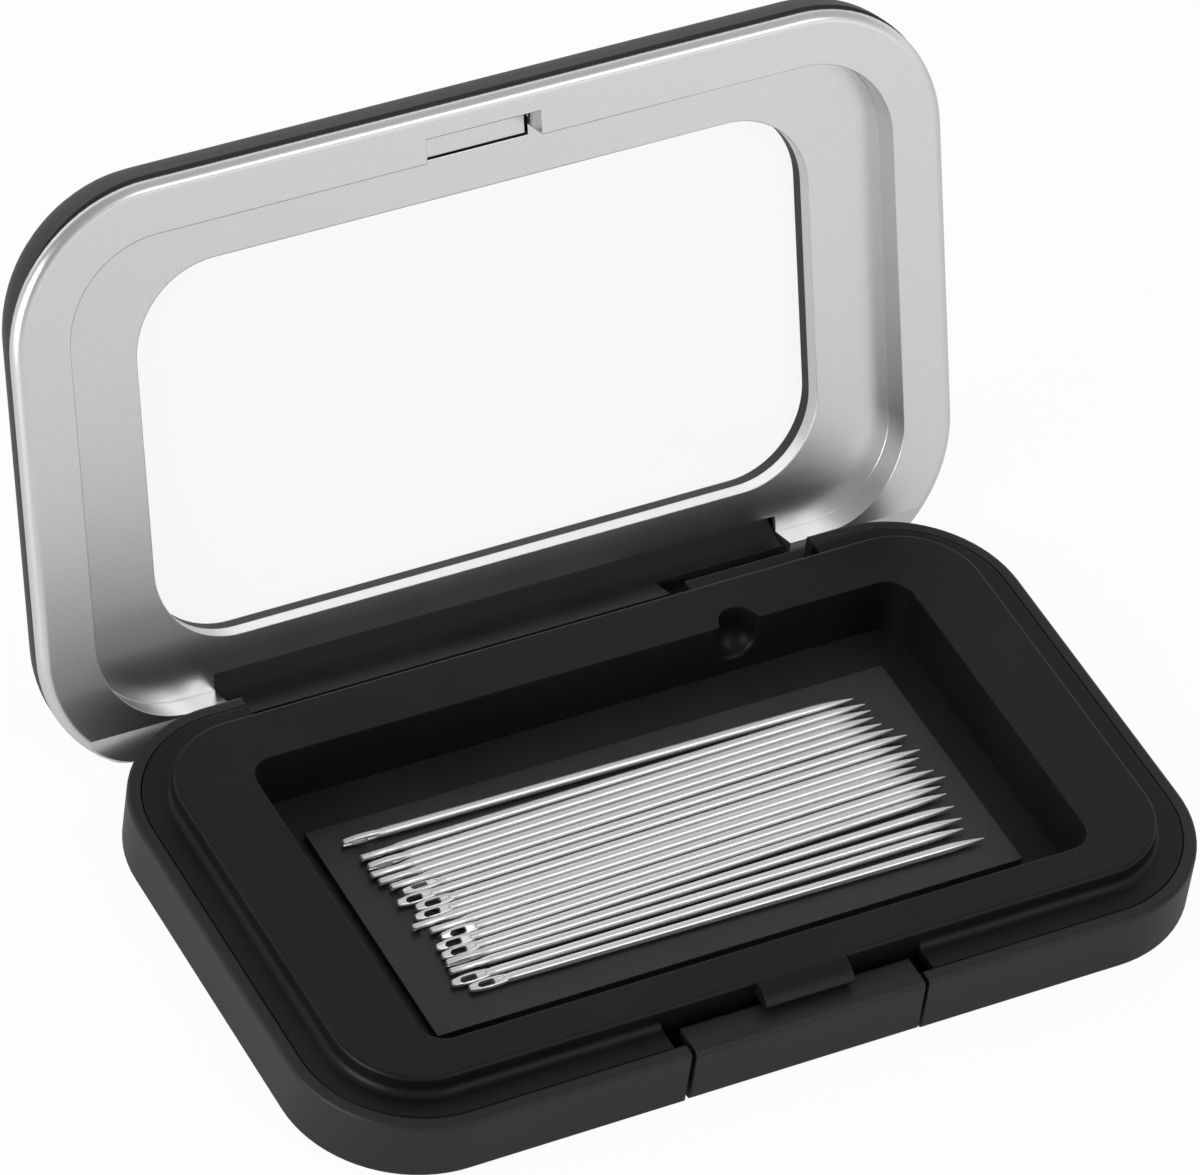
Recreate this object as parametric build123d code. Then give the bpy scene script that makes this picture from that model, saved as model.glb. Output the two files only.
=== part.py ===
# Magnetic needle case, standing open: a flat hinged box with a windowed lid,
# a magnet sheet in a sunken well and nineteen needles lying on it.
# Millimetres. +X runs along the hinge, +Y to the back, +Z up.
# The origin is the centre of the base's underside.
from build123d import *
import os
from math import asin, cos, degrees, radians, sin, sqrt

# Base shell
base_length = 90.3
base_width = 54.3
base_height = 6.2
base_corner_radius = 12.25
base_wall = 1.25
base_floor = 1.85
base_bottom_round = 0.4
base_rim_round = 0.4

# Tray frame, set into the base shell
seam_gap = 0.12
ledge_width = 2.73
ledge_thickness = 1.2
ledge_cut_margin = 1.1
plateau_height = 1.97
plateau_corner_radius = 7.8
plateau_edge_round = 0.35
plateau_foot_round = 0.7
frame_skin = 1.2
well_margin_side = 7.4
well_margin_front = 3.9
well_margin_rear = 5.55
well_corner_radius = 2.5
well_wall = 1.2
poke_notch_radius = 2.0
poke_notch_x = 16.7
poke_notch_wall = 1.0
poke_notch_depth = 4.55
poke_notch_round = 0.4

# Magnet sheet on the floor of the well
magnet_gap_side = 3.95
magnet_gap_ends = 5.05
magnet_thickness = 0.8

# Needles
needle_length = 52.2
needle_diameter = 0.86
needle_point_diameter = 0.1
needle_point_length = 4.4
needle_head_length = 4.2
needle_end_width = 0.62
needle_head_width = 1.04
needle_head_thickness = 0.6
needle_head_round = 0.24
needle_eye_length = 1.65
needle_eye_width = 0.56
needle_eye_setback = 0.85
needle_neck_gap = 0.14
needle_gutter_length = 3.4
needle_gutter_width = 0.24
needle_gutter_depth = 0.1
needle_lift = 0.01

# Push button in the front wall
button_width = 23.0
button_x = 0.3
button_side_gap = 0.45
button_proud = 0.12
button_plate = 1.25
button_shelf_depth = 3.3
button_shelf_thickness = 1.2
button_travel = 0.75
button_floor_gap = 0.15
button_wing_width = 1.8
button_wing_depth = 1.0
button_wing_gap = 0.3
button_rib = 1.0
button_edge_round = 0.6
button_clearance = 0.15

# Catch nose on the tray's front edge
nose_width = 8.9
nose_x = 1.1
nose_reach = 2.3
nose_drop = 1.05
nose_thickness = 1.5
nose_undercut = 0.26

# Hinge
hinge_inset = 1.75
hinge_height = 2.83
barrel_radius = 1.5
barrel_half_length = 15.3
knuckle_length = 12.0
knuckle_gap = 0.3
knuckle_root = 1.1
pin_radius = 0.6
pin_hold = 0.02
pin_running = 0.06
pin_engagement = 6.0
leaf_thickness = 1.1
leaf_side = 1.4
leaf_gap = 0.3
leaf_root = 0.6
liner_cut_gap = 0.15
lid_open_angle = 109.6

# Lid
lid_gap = 0.2
lid_overhang = 1.92
lid_front_overhang = 1.49
lid_thickness = 7.2
lid_foot_gap = 0.15
flange_thickness = 1.2
flange_edge_round = 0.95
recess_clearance = 0.65
recess_depth = 2.9
liner_skin = 0.6
window_margin_side = 7.5
window_margin_front = 5.0
window_corner_radius = 8.2
collar_height = 1.0
collar_wall = 1.0
shell_straight = 1.23
shell_side_inset = 0.37
shell_front_lip = 0.33
shell_skin = 1.25
shell_seat_gap = 0.05
shell_window_lip = 3.0
web_round = 3.4
pane_step = 1.8
pane_thickness = 0.55
pane_set_back = 0.85
pane_gap = 0.1
glue_thickness = 0.15
hinge_cut_margin = 1.65
swing_clearance = 0.12

# Slot in the liner that takes the catch nose
slot_half_length = 5.8
slot_reach = 2.35
slot_lip = 0.8
slot_slit = 0.25
slot_end_gap = 0.35
slot_end_height = 1.2
slot_pin_hole = 0.45
slot_hole_inset = 1.4
slot_hole_depth = 2.6

# Head end and point of each needle across the sheet, from the back row to the
# front: along-shift of the head, head y, point y and turn of the eye in degrees
needle_rows = [
    (-27.4, 10.45, 10.00, 95),
    (-26.7, 8.20, 8.98, 128),
    (-26.6, 6.95, 8.06, 100),
    (-26.8, 5.95, 7.15, 134),
    (-26.5, 4.95, 6.17, 122),
    (-25.8, 4.02, 5.20, 130),
    (-25.0, 3.05, 4.05, -8),
    (-26.1, 2.00, 3.00, 30),
    (-24.8, 0.93, 1.95, 26),
    (-25.4, -0.14, 1.05, 32),
    (-26.2, -1.14, 0.13, 128),
    (-24.9, -2.09, -0.82, 132),
    (-24.3, -3.08, -1.95, 38),
    (-25.3, -4.13, -2.88, 34),
    (-25.3, -5.21, -3.90, 30),
    (-25.4, -6.20, -5.55, 104),
    (-25.5, -7.15, -7.15, 130),
    (-26.0, -8.50, -8.35, 28),
    (-24.8, -9.62, -10.10, 18),
]

# Heights and lines that several pieces share
plateau_top = base_height + plateau_height
plateau_inset = base_wall + seam_gap + ledge_width
plateau_length = base_length - 2 * plateau_inset
plateau_width = base_width - 2 * plateau_inset
plateau_front = -plateau_width / 2
well_length = plateau_length - 2 * well_margin_side
well_width = plateau_width - well_margin_front - well_margin_rear
well_middle = (well_margin_front - well_margin_rear) / 2
well_rear = well_middle + well_width / 2
magnet_top = base_floor + magnet_thickness
front_face = -base_width / 2
rear_face = base_width / 2
hinge_y = rear_face - hinge_inset
hinge_line = Axis((0, hinge_y, hinge_height), (1, 0, 0))
rim_swing = sqrt(hinge_inset ** 2 + (base_height - hinge_height) ** 2) + swing_clearance
knuckle_start = barrel_half_length + knuckle_gap
knuckle_end = knuckle_start + knuckle_length
leaf_half_length = knuckle_end + leaf_side
bay_half = leaf_half_length + leaf_gap
flange_z = base_height + lid_gap
side_low = flange_z + flange_thickness
lid_length = base_length + 2 * lid_overhang
lid_front = front_face - lid_front_overhang
lid_rear = rear_face + lid_overhang
lid_corner_radius = base_corner_radius + lid_overhang
recess_length = plateau_length + 2 * recess_clearance
recess_width = plateau_width + 2 * recess_clearance
recess_radius = plateau_corner_radius + 2 * recess_clearance
recess_z = flange_z + recess_depth
window_length = recess_length - 2 * window_margin_side
window_width = recess_width - 2 * window_margin_front
collar_z = recess_z + liner_skin + collar_height
lid_top = flange_z + lid_thickness
ceiling = lid_top - shell_skin
shell_edge_round = lid_thickness - flange_thickness - shell_straight
pane_low = lid_top - pane_set_back - pane_thickness
rear_seat = recess_width / 2 + liner_skin + shell_seat_gap
slot_outer = slot_half_length + liner_skin
slot_front = -recess_width / 2
slot_back = slot_front - slot_reach
slot_edge = slot_front + slot_lip
button_front = front_face - button_proud
opening_half = button_width / 2 + button_side_gap
opening_left = button_x - opening_half
opening_right = button_x + opening_half
far = 200.0


def slab(length, width, radius, low, high, middle=0.0):
    """Upright plate with round corners, from one height to another."""
    return extrude(Pos(0, middle, low) * RectangleRounded(length, width, radius), high - low)


def plate(length, front, rear, radius, low, high):
    """Upright plate with round corners, between a front and a rear line."""
    return slab(length, rear - front, radius, low, high, (front + rear) / 2)


def block(x_range, y_range, z_range):
    """Box between two corners."""
    size = [span[1] - span[0] for span in (x_range, y_range, z_range)]
    middle = [(span[0] + span[1]) / 2 for span in (x_range, y_range, z_range)]
    return Pos(*middle) * Box(*size)


def rod(radius, x_low, x_high, y, z):
    """Cylinder along X."""
    return Pos((x_low + x_high) / 2, y, z) * Rotation(0, 90, 0) * Cylinder(radius, x_high - x_low)


def both_sides(shape):
    """The shape and its mirror image across the middle plane."""
    return shape + mirror(shape, about=Plane.YZ)


def base_shell():
    """Outer tub: floor, side wall, button opening, and the knuckles of the hinge."""
    tub = slab(base_length, base_width, base_corner_radius, 0, base_height)
    tub = fillet(tub.edges().group_by(Axis.Z)[0], base_bottom_round)
    tub = fillet(tub.edges().group_by(Axis.Z)[-1], base_rim_round)
    tub -= slab(base_length - 2 * base_wall, base_width - 2 * base_wall,
                base_corner_radius - base_wall, base_floor, far)
    plate_back = button_front + button_plate + button_travel + button_clearance
    tub -= block((opening_left, opening_right), (-far, plate_back), (-far, far))
    bay_front = hinge_y - barrel_radius - leaf_gap
    tub -= block((-bay_half, bay_half), (bay_front, far), (-far, far))
    knuckle = rod(barrel_radius, knuckle_start, knuckle_end, hinge_y, hinge_height)
    knuckle += block((knuckle_start, knuckle_end), (bay_front - knuckle_root, hinge_y),
                     (0, hinge_height + barrel_radius))
    knuckle -= rod(pin_radius + pin_hold, 0, far, hinge_y, hinge_height)
    frame_side = plateau_width / 2
    knuckle -= block((0, far), (-far, frame_side), (base_floor, far))
    return tub + both_sides(knuckle)


def tray_frame():
    """Raised frame round the well, with a ledge that fills the base shell's rim."""
    ledge_inset = base_wall + seam_gap
    plateau = slab(plateau_length, plateau_width, plateau_corner_radius, base_floor, plateau_top)
    plateau = fillet(plateau.edges().group_by(Axis.Z)[-1], plateau_edge_round)
    ledge = slab(base_length - 2 * ledge_inset, base_width - 2 * ledge_inset,
                 base_corner_radius - ledge_inset, base_height - ledge_thickness, base_height)
    whole = plateau + ledge
    ledge_top = whole.faces().filter_by(Axis.Z).group_by(Axis.Z)[-2][0]
    whole = fillet(ledge_top.inner_wires()[0].edges(), plateau_foot_round)
    cut_reach = (opening_left - ledge_cut_margin, opening_right + ledge_cut_margin)
    cuts = block(cut_reach, (-far, 0), (-far, far))
    cuts += block((-bay_half, knuckle_start), (0, far), (-far, far))
    cuts += block((knuckle_end, bay_half), (0, far), (-far, far))
    frame = whole - (cuts - plateau) + catch_nose()
    hollow = slab(plateau_length - 2 * frame_skin, plateau_width - 2 * frame_skin,
                  plateau_corner_radius - frame_skin, -far, plateau_top - frame_skin)
    hollow -= slab(well_length + 2 * well_wall, well_width + 2 * well_wall,
                   well_corner_radius + well_wall, -far, far, well_middle)
    hollow -= Pos(poke_notch_x, well_rear) * Cylinder(poke_notch_radius + poke_notch_wall, 2 * far)
    frame -= hollow
    frame -= slab(well_length, well_width, well_corner_radius, -far, far, well_middle)
    return poke_notch(frame)


def poke_notch(frame):
    """Cut the round-bottomed notch in the well's rear wall, with its corners eased."""
    bowl = Sphere(poke_notch_radius) + Pos(0, 0, far / 2) * Cylinder(poke_notch_radius, far)
    frame -= Pos(poke_notch_x, well_rear, plateau_top - poke_notch_depth + poke_notch_radius) * bowl
    reach = poke_notch_radius + poke_notch_round
    corners = frame.edges().filter_by_position(
        Axis.Y, well_rear - poke_notch_round, well_rear + poke_notch_round)
    corners = corners.filter_by_position(Axis.X, poke_notch_x - reach, poke_notch_x + reach)
    return fillet(corners, poke_notch_round)


def catch_nose():
    """Rounded nose that runs out of the plateau over the push button."""
    back = plateau_front + frame_skin / 2
    tip = plateau_front - nose_reach
    low = plateau_top - nose_thickness
    edge = [(back, low), (back, plateau_top), (plateau_front, plateau_top)]
    front = [(tip, plateau_top - nose_drop), (tip + nose_undercut, low), (back, low)]
    crown = TangentArc(edge[-1], front[0], tangent=(-1, 0))
    outline = Polyline(*edge) + crown + Polyline(*front)
    face = Plane.YZ.offset(nose_x - nose_width / 2) * make_face(outline)
    return extrude(face, nose_width)


def magnet_sheet():
    """Thin square-cornered sheet lying in the well."""
    half_x = well_length / 2 - magnet_gap_side
    half_y = well_width / 2 - magnet_gap_ends
    return block((-half_x, half_x), (well_middle - half_y, well_middle + half_y),
                 (base_floor, magnet_top))


def latch_button():
    """Push button: front plate, shelf behind the rim, and two wings that hold it in."""
    half = button_width / 2
    shelf_back = button_front + button_shelf_depth
    plate = block((-half, half), (button_front, button_front + button_plate),
                  (button_floor_gap, base_height))
    shelf = block((-half, half), (button_front, shelf_back),
                  (base_height - button_shelf_thickness, base_height))
    button = fillet((plate + shelf).edges().filter_by(Axis.X).group_by(Axis.Y)[0], button_edge_round)
    wing_front = front_face + base_wall + button_clearance
    wing_back = wing_front + button_wing_depth
    wing_low = base_floor + button_clearance
    wing_high = base_height - ledge_thickness - button_wing_gap
    rib = block((half - button_rib, half), (button_front + button_plate / 2, wing_back),
                (wing_low, base_height - button_shelf_thickness / 2))
    wing = block((half - button_rib, half + button_wing_width), (wing_front, wing_back),
                 (wing_low, wing_high))
    return Pos(button_x, 0, 0) * (button + both_sides(rib + wing))


def hinge_pin(side):
    """Steel pin from the outer end of a knuckle into the lid's barrel."""
    ends = sorted((side * (barrel_half_length - pin_engagement), side * knuckle_end))
    return rod(pin_radius, ends[0], ends[1], hinge_y, hinge_height)


def needle():
    """Needle along +X from its head end, with a flattened oval head, a long eye and gutters."""
    radius = needle_diameter / 2
    neck_start = needle_eye_setback + needle_eye_length + needle_neck_gap
    point_start = needle_length - needle_point_length
    half_end = needle_end_width / 2
    middle = needle_head_length / 2
    side = ThreePointArc((0, half_end), (middle, needle_head_width / 2), (needle_head_length, half_end))
    root = Line((needle_head_length, half_end), (needle_head_length, -half_end))
    head = make_face(side + root + mirror(side, about=Plane.XZ) + Line((0, -half_end), (0, half_end)))
    head = extrude(head, needle_head_thickness / 2, both=True)
    head = fillet(head.edges(), needle_head_round)
    eye = Pos(needle_eye_setback + needle_eye_length / 2, 0) * SlotOverall(
        needle_eye_length, needle_eye_width)
    head -= extrude(eye, needle_head_width, both=True)
    neck = Pos((neck_start + needle_head_length) / 2, 0) * Rotation(0, 90, 0) * Cone(
        needle_head_thickness / 2, radius, needle_head_length - neck_start)
    shank = rod(radius, needle_head_length, point_start, 0, 0)
    tip = (needle_length, needle_point_diameter / 2)
    taper = Bezier((point_start, radius), (needle_length - needle_point_length / 2, radius), tip)
    taper += Polyline(tip, (needle_length, 0), (point_start, 0), (point_start, radius))
    point = revolve(make_face(taper), Axis.X)
    gutter = block((0, needle_gutter_length), (-needle_gutter_width / 2, needle_gutter_width / 2),
                   (needle_head_thickness / 2 - needle_gutter_depth, needle_diameter))
    return head + neck + shank + point - gutter - mirror(gutter, about=Plane.XY)


def laid_needle(row):
    """One needle lying on the magnet sheet, turned so that its eye faces as it should."""
    head_x, head_y, point_y, turn = row
    flat = (needle_head_thickness / 2 - needle_head_round) * abs(cos(radians(turn)))
    wide = (needle_head_width / 2 - needle_head_round) * abs(sin(radians(turn)))
    rest = max(needle_diameter / 2, flat + wide + needle_head_round)
    head_z = magnet_top + rest + needle_lift
    point_z = magnet_top + needle_diameter / 2 + needle_lift
    yaw = degrees(asin((point_y - head_y) / needle_length))
    dip = degrees(asin((head_z - point_z) / needle_length))
    place = Pos(head_x, well_middle + head_y, head_z) * Rotation(0, 0, yaw) * Rotation(0, dip, 0)
    return place * Rotation(turn, 0, 0) * needle()


def opened(shape):
    """Swing a piece of the closed lid up to its open stop and trim its foot off the table."""
    swung = shape.rotate(hinge_line, -lid_open_angle)
    return swung - block((-far, far), (-far, far), (-far, lid_foot_gap))


def hinge_zone(x_half, y_low):
    """Everything behind a line, within a width, for cuts at the hinge."""
    return block((-x_half, x_half), (y_low, far), (-far, far))


def lid_shell():
    """Outer cover: rounded cap with a window, and the leaf and barrel of the hinge."""
    cover_length = lid_length - 2 * shell_side_inset
    cover_front = lid_front - shell_front_lip
    cover_radius = lid_corner_radius - shell_side_inset
    cap = plate(cover_length, cover_front, lid_rear, cover_radius, side_low, lid_top)
    cap = fillet(cap.edges().group_by(Axis.Z)[-1], shell_edge_round)
    hollow = plate(cover_length - 2 * shell_skin, cover_front + shell_skin, lid_rear - shell_skin,
                   cover_radius - shell_skin, side_low - far, ceiling)
    hollow = fillet(hollow.edges().group_by(Axis.Z)[-1], shell_edge_round - shell_skin)
    seat = plate(cover_length, cover_front, rear_seat, recess_radius + liner_skin, -far, far)
    cap -= hollow & seat
    cap += hinge_web()
    cap += slab(window_length + 2 * shell_window_lip, window_width + 2 * shell_window_lip,
                window_corner_radius + shell_window_lip, collar_z, lid_top - shell_skin / 2)
    cap -= slab(window_length, window_width, window_corner_radius, -far, far)
    cap -= slab(window_length + 2 * pane_step, window_width + 2 * pane_step,
                window_corner_radius + pane_step, pane_low - glue_thickness, far)
    return opened(cap + hinge_leaf())


def hinge_web():
    """Curved web between the cover's top and its rear wall, behind the liner's cut."""
    half = leaf_half_length
    web_front = rear_seat - web_round
    web = block((-half, half), (web_front, rear_seat + shell_skin / 2),
                (collar_z - web_round, ceiling + shell_skin / 2))
    return web - rod(web_round, -far, far, web_front, collar_z - web_round)


def hinge_leaf():
    """Leaf below the cover's rear wall, ending in the barrel round the pins."""
    leaf_back = hinge_y + barrel_radius
    leaf = block((-leaf_half_length, leaf_half_length), (leaf_back - leaf_thickness, leaf_back),
                 (hinge_height, side_low + leaf_root))
    swing = rod(barrel_radius + leaf_gap / 2, barrel_half_length, far, hinge_y, hinge_height)
    leaf -= both_sides(swing)
    leaf += block((-leaf_half_length, barrel_half_length), (rear_seat, leaf_back),
                  (hinge_height + barrel_radius + leaf_gap, side_low + leaf_root))
    barrel = rod(barrel_radius, -barrel_half_length, barrel_half_length, hinge_y, hinge_height)
    bore_start = barrel_half_length - pin_engagement - pin_running
    bore = rod(pin_radius + pin_running, bore_start, far, hinge_y, hinge_height)
    return leaf + barrel - both_sides(bore)


def lid_liner():
    """Silver inner moulding: flange, recess for the plateau, window collar and catch slot."""
    flange = plate(lid_length, lid_front, lid_rear, lid_corner_radius, flange_z, side_low)
    flange = fillet(flange.edges().group_by(Axis.Z)[0], flange_edge_round)
    pan = slab(recess_length + 2 * liner_skin, recess_width + 2 * liner_skin,
               recess_radius + liner_skin, flange_z, recess_z + liner_skin)
    collar = slab(window_length + 2 * collar_wall, window_width + 2 * collar_wall,
                  window_corner_radius + collar_wall, recess_z, collar_z)
    liner = flange + pan + collar + slot_walls()
    liner -= slab(recess_length, recess_width, recess_radius, -far, recess_z)
    liner -= slot_cuts()
    liner -= slab(window_length, window_width, window_corner_radius, -far, far)
    liner -= hinge_zone(leaf_half_length + liner_cut_gap, recess_width / 2 - hinge_cut_margin)
    liner -= rod(rim_swing, -far, far, hinge_y, hinge_height)
    return opened(liner)


def slot_walls():
    """Walls of the slot for the catch nose, with a deeper one at its right end."""
    low_back = slot_back - liner_skin
    walls = block((-slot_outer, slot_outer), (low_back, slot_front), (flange_z, recess_z + liner_skin))
    return walls + block((slot_half_length, slot_outer), (low_back, slot_edge),
                         (flange_z, recess_z + slot_end_height))


def slot_cuts():
    """Space of the slot: its pocket, the slits that free its floor as a tongue, and a pin hole."""
    half = slot_half_length
    cuts = block((-half, half), (slot_back, slot_edge), (-far, recess_z))
    cuts += block((-half, half), (slot_edge, slot_edge + slot_slit), (-far, far))
    cuts += block((half - slot_end_gap, half), (slot_back, slot_edge), (-far, far))
    return cuts + rod(slot_pin_hole / 2, half - slot_end_gap, slot_outer + liner_skin,
                      slot_back + slot_hole_inset, flange_z + slot_hole_depth)


def window_glue():
    """Thin black ring of glue between the cover's lip and the pane."""
    ring = slab(window_length + 2 * (pane_step - pane_gap), window_width + 2 * (pane_step - pane_gap),
                window_corner_radius + pane_step - pane_gap, pane_low - glue_thickness, pane_low)
    ring -= slab(window_length, window_width, window_corner_radius, -far, far)
    return opened(ring)


def lid_window():
    """Clear pane let into the cover from outside."""
    grow = 2 * (pane_step - pane_gap)
    return opened(slab(window_length + grow, window_width + grow,
                       window_corner_radius + grow / 2, pane_low, pane_low + pane_thickness))


pieces = {
    "base_shell": base_shell(),
    "tray_frame": tray_frame(),
    "magnet_sheet": magnet_sheet(),
    "latch_button": latch_button(),
    "hinge_pin_left": hinge_pin(-1),
    "hinge_pin_right": hinge_pin(1),
    "lid_shell": lid_shell(),
    "lid_liner": lid_liner(),
    "window_glue": window_glue(),
    "lid_window": lid_window(),
}
for number, row in enumerate(needle_rows, start=1):
    pieces[f"needle_{number:02d}"] = laid_needle(row)

os.makedirs("parts", exist_ok=True)
for name, shape in pieces.items():
    export_step(shape, f"parts/{name}.step")
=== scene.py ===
from math import cos, radians, sin

import bmesh
import bpy
from mathutils import Matrix, Vector

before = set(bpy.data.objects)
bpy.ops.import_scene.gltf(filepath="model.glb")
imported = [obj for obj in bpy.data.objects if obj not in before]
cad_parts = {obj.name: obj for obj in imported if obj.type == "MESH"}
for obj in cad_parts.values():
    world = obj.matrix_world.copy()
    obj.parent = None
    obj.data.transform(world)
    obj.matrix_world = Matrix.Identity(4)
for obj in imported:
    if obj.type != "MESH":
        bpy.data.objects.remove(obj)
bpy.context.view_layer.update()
mm = 0.001

# Outer tub. A black moulding with a very fine satin grain, a faintly cloudy tone and softly
# broken edges. Its wall stands round the tray with a hair-thin seam between them.
shell_dark = (0.012, 0.012, 0.0125, 1)
shell_light = (0.017, 0.017, 0.0175, 1)
cloud_scale = 90
cloud_detail = 4
cloud_start = 0.35
cloud_end = 0.72
grain_scale = 5200
grain_detail = 2
grain_height = 0.02 * mm
gloss_spread = 0.05
edge_samples = 6


def set_ramp(ramp, low, low_colour, high, high_colour):
    """Set the place and colour of both ends of a colour ramp."""
    first, last = ramp.color_ramp.elements
    first.position = low
    first.color = low_colour
    last.position = high
    last.color = high_colour


def moulded_black(name, dark, light, gloss, reflection, grain, rounding):
    """Black moulded plastic: faint cloudy tone, fine grain, and edges that catch the light."""
    material = bpy.data.materials.new(name)
    material.use_nodes = True
    tree = material.node_tree
    shader = tree.nodes["Principled BSDF"]
    shader.inputs["Specular IOR Level"].default_value = reflection
    place = tree.nodes.new("ShaderNodeTexCoord")
    cloud = tree.nodes.new("ShaderNodeTexNoise")
    cloud.inputs["Scale"].default_value = cloud_scale
    cloud.inputs["Detail"].default_value = cloud_detail
    tone = tree.nodes.new("ShaderNodeValToRGB")
    set_ramp(tone, cloud_start, dark, cloud_end, light)
    speckle = tree.nodes.new("ShaderNodeTexNoise")
    speckle.inputs["Scale"].default_value = grain_scale
    speckle.inputs["Detail"].default_value = grain_detail
    shine = tree.nodes.new("ShaderNodeMapRange")
    shine.inputs["To Min"].default_value = gloss - gloss_spread
    shine.inputs["To Max"].default_value = gloss + gloss_spread
    soft_edge = tree.nodes.new("ShaderNodeBevel")
    soft_edge.samples = edge_samples
    soft_edge.inputs["Radius"].default_value = rounding
    bump = tree.nodes.new("ShaderNodeBump")
    bump.inputs["Strength"].default_value = grain
    bump.inputs["Distance"].default_value = grain_height
    link = tree.links.new
    link(place.outputs["Object"], cloud.inputs["Vector"])
    link(place.outputs["Object"], speckle.inputs["Vector"])
    link(cloud.outputs["Fac"], tone.inputs["Fac"])
    link(cloud.outputs["Fac"], shine.inputs["Value"])
    link(tone.outputs["Color"], shader.inputs["Base Color"])
    link(shine.outputs["Result"], shader.inputs["Roughness"])
    link(soft_edge.outputs["Normal"], bump.inputs["Normal"])
    link(speckle.outputs["Fac"], bump.inputs["Height"])
    link(bump.outputs["Normal"], shader.inputs["Normal"])
    return material


def dress(node, material):
    """Give a CAD piece its material in every slot."""
    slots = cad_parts[node].data.materials
    slots.clear()
    slots.append(material)


shell_plastic = moulded_black("satin_black_shell", shell_dark, shell_light,
                              gloss=0.48, reflection=0.35, grain=0.3, rounding=0.3 * mm)
dress("base_shell", shell_plastic)

# Tray frame. One matt black moulding that drops into the tub: a raised frame round the well,
# a ledge at the rim, the notch at the back and the nose over the button.
tray_dark = (0.005, 0.005, 0.0053, 1)
tray_light = (0.008, 0.008, 0.0084, 1)
tray_plastic = moulded_black("matt_black_tray", tray_dark, tray_light,
                             gloss=0.42, reflection=0.22, grain=0.3, rounding=0.2 * mm)
dress("tray_frame", tray_plastic)

# Push button. A separate moulding in the tub's satin black, with a slightly fainter grain. It
# slides in the front wall, and two wings inside the wall hold it in.
button_plastic = moulded_black("satin_black_button", shell_dark, shell_light,
                               gloss=0.48, reflection=0.35, grain=0.25, rounding=0.3 * mm)
dress("latch_button", button_plastic)

# Magnet sheet. Flexible magnet sheet, dull dark grey, with the faint mottle of its filler. It
# lies on the floor of the well.
sheet_dark = (0.018, 0.018, 0.0185, 1)
sheet_light = (0.026, 0.026, 0.0265, 1)
sheet_rubber = moulded_black("magnet_rubber", sheet_dark, sheet_light,
                             gloss=0.36, reflection=0.5, grain=0.5, rounding=0.05 * mm)
dress("magnet_sheet", sheet_rubber)

# Needles. Nickel-plated steel wire, drawn along its length, with stamped flat heads. The
# magnet sheet holds them where they lie.
needle_colour = (0.86, 0.86, 0.87, 1)
streak_stretch = (0.05, 1, 1)
streak_scale = 9000
streak_height = 0.01 * mm
streak_shinier = 0.06
streak_duller = 0.08


def drawn_steel(name, colour, metal, gloss, streak):
    """Bright drawn steel: fine streaks along X that break up the shine."""
    material = bpy.data.materials.new(name)
    material.use_nodes = True
    tree = material.node_tree
    shader = tree.nodes["Principled BSDF"]
    shader.inputs["Base Color"].default_value = colour
    shader.inputs["Metallic"].default_value = metal
    place = tree.nodes.new("ShaderNodeTexCoord")
    stretch = tree.nodes.new("ShaderNodeMapping")
    stretch.inputs["Scale"].default_value = streak_stretch
    streaks = tree.nodes.new("ShaderNodeTexNoise")
    streaks.inputs["Scale"].default_value = streak_scale
    shine = tree.nodes.new("ShaderNodeMapRange")
    shine.inputs["To Min"].default_value = gloss - streak_shinier
    shine.inputs["To Max"].default_value = gloss + streak_duller
    bump = tree.nodes.new("ShaderNodeBump")
    bump.inputs["Strength"].default_value = streak
    bump.inputs["Distance"].default_value = streak_height
    link = tree.links.new
    link(place.outputs["Object"], stretch.inputs["Vector"])
    link(stretch.outputs["Vector"], streaks.inputs["Vector"])
    link(streaks.outputs["Fac"], shine.inputs["Value"])
    link(shine.outputs["Result"], shader.inputs["Roughness"])
    link(streaks.outputs["Fac"], bump.inputs["Height"])
    link(bump.outputs["Normal"], shader.inputs["Normal"])
    return material


needle_steel = drawn_steel("nickel_needle", needle_colour, metal=0.8, gloss=0.32, streak=0.05)
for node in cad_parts:
    if node.startswith("needle_"):
        dress(node, needle_steel)

# Hinge pins. Two lengths of bright drawn wire, held in the tub's knuckles and running in the
# lid's barrel.
pin_colour = (0.55, 0.55, 0.56, 1)
pin_steel = drawn_steel("pin_wire", pin_colour, metal=1.0, gloss=0.3, streak=0.3)
dress("hinge_pin_left", pin_steel)
dress("hinge_pin_right", pin_steel)

# Lid cover. The outer black moulding, with the hinge leaf and barrel. It has the tub's satin
# black, a little shinier and with crisper edges.
cover_plastic = moulded_black("satin_black_cover", shell_dark, shell_light,
                              gloss=0.48, reflection=0.4, grain=0.3, rounding=0.08 * mm)
dress("lid_shell", cover_plastic)

# Lid liner. Silver-lacquered moulding with a rolled outer edge, a recess and a window frame.
# The lacquer has a very fine metal flake, and its cut edges are a little soft.
silver_dark = (0.72, 0.72, 0.725, 1)
silver_light = (0.80, 0.80, 0.805, 1)
silver_shiniest = 0.27
silver_dullest = 0.33
silver_rounding = 0.12 * mm
silver_edge_samples = 8
flake_scale = 9000
flake_detail = 2
flake_start = 0.3
flake_end = 0.7
flake_strength = 0.25
flake_height = 0.01 * mm
flow_scale = 120
flow_detail = 3
silver = bpy.data.materials.new("silver_lacquer")
silver.use_nodes = True
tree = silver.node_tree
silver_shader = tree.nodes["Principled BSDF"]
silver_shader.inputs["Metallic"].default_value = 1.0
place = tree.nodes.new("ShaderNodeTexCoord")
flake = tree.nodes.new("ShaderNodeTexNoise")
flake.inputs["Scale"].default_value = flake_scale
flake.inputs["Detail"].default_value = flake_detail
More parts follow.
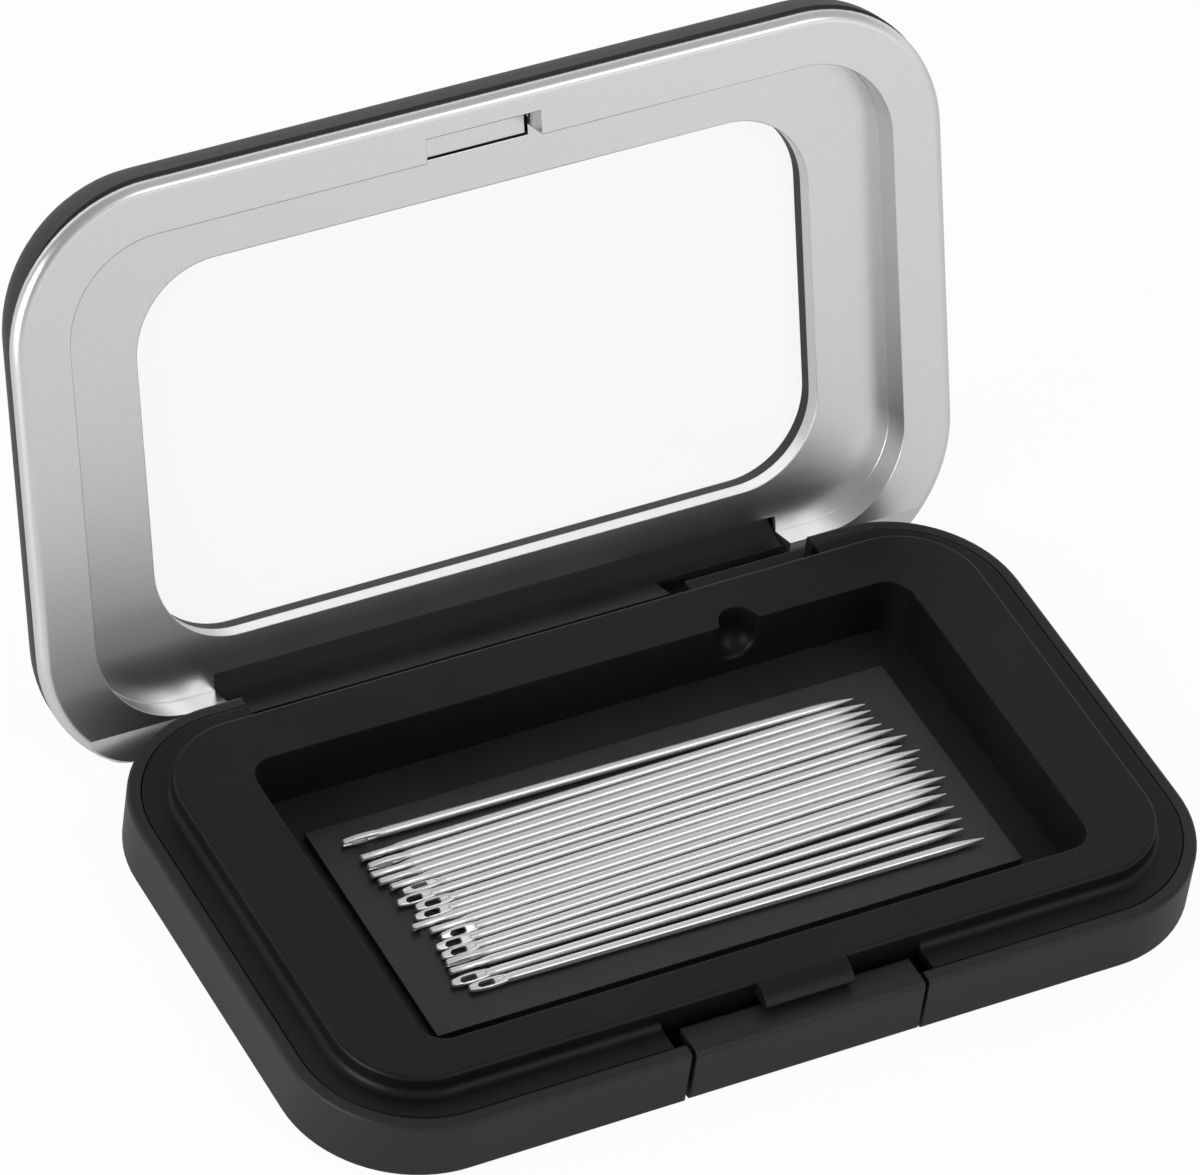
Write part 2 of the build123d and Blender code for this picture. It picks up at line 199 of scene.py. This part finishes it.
flow = tree.nodes.new("ShaderNodeTexNoise")
flow.inputs["Scale"].default_value = flow_scale
flow.inputs["Detail"].default_value = flow_detail
tone = tree.nodes.new("ShaderNodeValToRGB")
set_ramp(tone, flake_start, silver_dark, flake_end, silver_light)
shine = tree.nodes.new("ShaderNodeMapRange")
shine.inputs["To Min"].default_value = silver_shiniest
shine.inputs["To Max"].default_value = silver_dullest
soft_edge = tree.nodes.new("ShaderNodeBevel")
soft_edge.samples = silver_edge_samples
soft_edge.inputs["Radius"].default_value = silver_rounding
bump = tree.nodes.new("ShaderNodeBump")
bump.inputs["Strength"].default_value = flake_strength
bump.inputs["Distance"].default_value = flake_height
tree.links.new(place.outputs["Object"], flake.inputs["Vector"])
tree.links.new(place.outputs["Object"], flow.inputs["Vector"])
tree.links.new(flake.outputs["Fac"], tone.inputs["Fac"])
tree.links.new(flow.outputs["Fac"], shine.inputs["Value"])
tree.links.new(tone.outputs["Color"], silver_shader.inputs["Base Color"])
tree.links.new(shine.outputs["Result"], silver_shader.inputs["Roughness"])
tree.links.new(soft_edge.outputs["Normal"], bump.inputs["Normal"])
tree.links.new(flake.outputs["Fac"], bump.inputs["Height"])
tree.links.new(bump.outputs["Normal"], silver_shader.inputs["Normal"])
dress("lid_liner", silver)

# Window glue. A thin ring of black set glue between the cover's lip and the pane, which shows
# as a dark line along the window's right and lower edges.
glue_dark = (0.006, 0.006, 0.006, 1)
glue_light = (0.012, 0.012, 0.012, 1)
glue = moulded_black("black_glue", glue_dark, glue_light,
                     gloss=0.3, reflection=0.5, grain=0.3, rounding=0.02 * mm)
dress("window_glue", glue)

# Window. A clear pane let into the cover from outside, nearly invisible apart from its
# reflections.
pane_colour = (0.97, 0.98, 0.98, 1)
pane_gloss = 0.02
pane_cover = 0.05
pane = bpy.data.materials.new("clear_pane")
pane.use_nodes = True
pane_shader = pane.node_tree.nodes["Principled BSDF"]
pane_shader.inputs["Base Color"].default_value = pane_colour
pane_shader.inputs["Roughness"].default_value = pane_gloss
pane_shader.inputs["Alpha"].default_value = pane_cover
dress("lid_window", pane)

# Floor. A plain white sheet under the case. It is bright to the camera and through clear
# pieces, less so in shiny surfaces, and still takes the case's soft shadow.
floor_half = 3.0
floor_grey = (0.8, 0.8, 0.8, 1)
white = (1, 1, 1, 1)
bright_share = 0.95
mirrored_share = 0.3
floor_mesh = bmesh.new()
bmesh.ops.create_grid(floor_mesh, x_segments=1, y_segments=1, size=floor_half)
floor_data = bpy.data.meshes.new("floor")
floor_mesh.to_mesh(floor_data)
floor_mesh.free()
floor = bpy.data.objects.new("floor", floor_data)
bpy.context.scene.collection.objects.link(floor)
paper = bpy.data.materials.new("white_floor")
paper.use_nodes = True
tree = paper.node_tree
tree.nodes.clear()
matt = tree.nodes.new("ShaderNodeBsdfDiffuse")
matt.inputs["Color"].default_value = floor_grey
bright = tree.nodes.new("ShaderNodeEmission")
bright.inputs["Color"].default_value = white
bright.inputs["Strength"].default_value = 1.0
seen = tree.nodes.new("ShaderNodeLightPath")
either = tree.nodes.new("ShaderNodeMath")
either.operation = "MAXIMUM"
any_of = tree.nodes.new("ShaderNodeMath")
any_of.operation = "MAXIMUM"
share = tree.nodes.new("ShaderNodeMath")
share.operation = "MULTIPLY"
share.inputs[1].default_value = bright_share
mirrored = tree.nodes.new("ShaderNodeMath")
mirrored.operation = "MULTIPLY"
mirrored.inputs[1].default_value = mirrored_share
blend = tree.nodes.new("ShaderNodeMixShader")
result = tree.nodes.new("ShaderNodeOutputMaterial")
tree.links.new(seen.outputs["Is Camera Ray"], either.inputs[0])
tree.links.new(seen.outputs["Is Transmission Ray"], either.inputs[1])
tree.links.new(either.outputs[0], any_of.inputs[0])
tree.links.new(seen.outputs["Is Glossy Ray"], mirrored.inputs[0])
tree.links.new(mirrored.outputs[0], any_of.inputs[1])
tree.links.new(any_of.outputs[0], share.inputs[0])
tree.links.new(share.outputs[0], blend.inputs["Fac"])
tree.links.new(matt.outputs[0], blend.inputs[1])
tree.links.new(bright.outputs[0], blend.inputs[2])
tree.links.new(blend.outputs[0], result.inputs["Surface"])
floor_data.materials.append(paper)

# World. A white studio that gets greyer towards the ceiling and dimmer towards the left, with
# a brighter wall behind the case. The edges are parts of a unit direction along Z, X and Y.
wall_top = 0.04
ceiling_edge = 0.4
ceiling_grey = (0.5, 0.5, 0.5, 1)
left_edge = -0.5
right_edge = 0.3
left_share = 0.55
back_wall_edge = 0.3
back_wall_full = 0.92
back_wall_light = 1.25
black = (0, 0, 0, 1)
world_strength = 1.05
world = bpy.data.worlds.new("studio")
bpy.context.scene.world = world
world.use_nodes = True
tree = world.node_tree
way = tree.nodes.new("ShaderNodeTexCoord")
split = tree.nodes.new("ShaderNodeSeparateXYZ")
climb = tree.nodes.new("ShaderNodeValToRGB")
set_ramp(climb, wall_top, white, ceiling_edge, ceiling_grey)
behind = tree.nodes.new("ShaderNodeValToRGB")
set_ramp(behind, back_wall_edge, black, back_wall_full, white)
lit_wall = tree.nodes.new("ShaderNodeMath")
lit_wall.operation = "MULTIPLY"
lit_wall.inputs[1].default_value = back_wall_light
aside = tree.nodes.new("ShaderNodeMapRange")
aside.inputs["From Min"].default_value = left_edge
aside.inputs["From Max"].default_value = right_edge
aside.inputs["To Min"].default_value = left_share
dimmed = tree.nodes.new("ShaderNodeMath")
dimmed.operation = "MULTIPLY"
brighter = tree.nodes.new("ShaderNodeMath")
brighter.operation = "MAXIMUM"
tree.links.new(way.outputs["Generated"], split.inputs[0])
tree.links.new(split.outputs["Z"], climb.inputs["Fac"])
tree.links.new(split.outputs["Y"], behind.inputs["Fac"])
tree.links.new(split.outputs["X"], aside.inputs["Value"])
tree.links.new(climb.outputs["Color"], dimmed.inputs[0])
tree.links.new(aside.outputs["Result"], dimmed.inputs[1])
tree.links.new(behind.outputs["Color"], lit_wall.inputs[0])
tree.links.new(dimmed.outputs[0], brighter.inputs[0])
tree.links.new(lit_wall.outputs[0], brighter.inputs[1])
tree.links.new(brighter.outputs[0], tree.nodes["Background"].inputs["Color"])
tree.nodes["Background"].inputs["Strength"].default_value = world_strength

# Lamps. A soft box at the front right, at about the camera's height, a low soft lamp on the
# left for the left ends of the base and the lid, and a weak low card in front for the silver.
case_middle = (0, 0, 0.01)
lid_middle = (0, 0.04, 0.03)


def soft_lamp(name, place, aim, size, power):
    """Square area lamp pointed at a spot."""
    data = bpy.data.lights.new(name, "AREA")
    data.size = size
    data.energy = power
    lamp = bpy.data.objects.new(name, data)
    lamp.location = place
    lamp.rotation_euler = (Vector(aim) - Vector(place)).to_track_quat("-Z", "Y").to_euler()
    bpy.context.scene.collection.objects.link(lamp)


soft_lamp("front_box", place=(0.32, -0.53, 0.52), aim=case_middle, size=0.22, power=0.6)
soft_lamp("left_box", place=(-0.6, -0.1, 0.2), aim=case_middle, size=0.4, power=2.6)
soft_lamp("low_card", place=(0.45, -0.8, 0.1), aim=lid_middle, size=0.3, power=0.1)

# Camera. It looks down on the front left corner through a long lens, a little rolled.
view_turn = radians(-33.625)
view_rise = radians(43.531)
view_roll = radians(8.805)
view_distance = 778.56 * mm
view_shift_right = -5.89 * mm
view_shift_up = 20.13 * mm
rim_height = 6.2 * mm
focal_length = 260.64
film_width = 36
nearest_seen = 0.05
farthest_seen = 20
back = Vector((sin(view_turn) * cos(view_rise), -cos(view_turn) * cos(view_rise), sin(view_rise)))
level_right = Vector((cos(view_turn), sin(view_turn), 0))
level_up = back.cross(level_right)
right = level_right * cos(view_roll) + level_up * sin(view_roll)
up = level_up * cos(view_roll) - level_right * sin(view_roll)
camera = bpy.data.objects.new("camera", bpy.data.cameras.new("camera"))
camera.data.lens = focal_length
camera.data.sensor_width = film_width
camera.data.clip_start = nearest_seen
camera.data.clip_end = farthest_seen
camera.matrix_world = Matrix((right, up, back)).transposed().to_4x4()
camera.location = (Vector((0, 0, rim_height)) + back * view_distance
                   + right * view_shift_right + up * view_shift_up)
bpy.context.scene.collection.objects.link(camera)
bpy.context.scene.camera = camera
bpy.context.scene.view_settings.view_transform = "Standard"
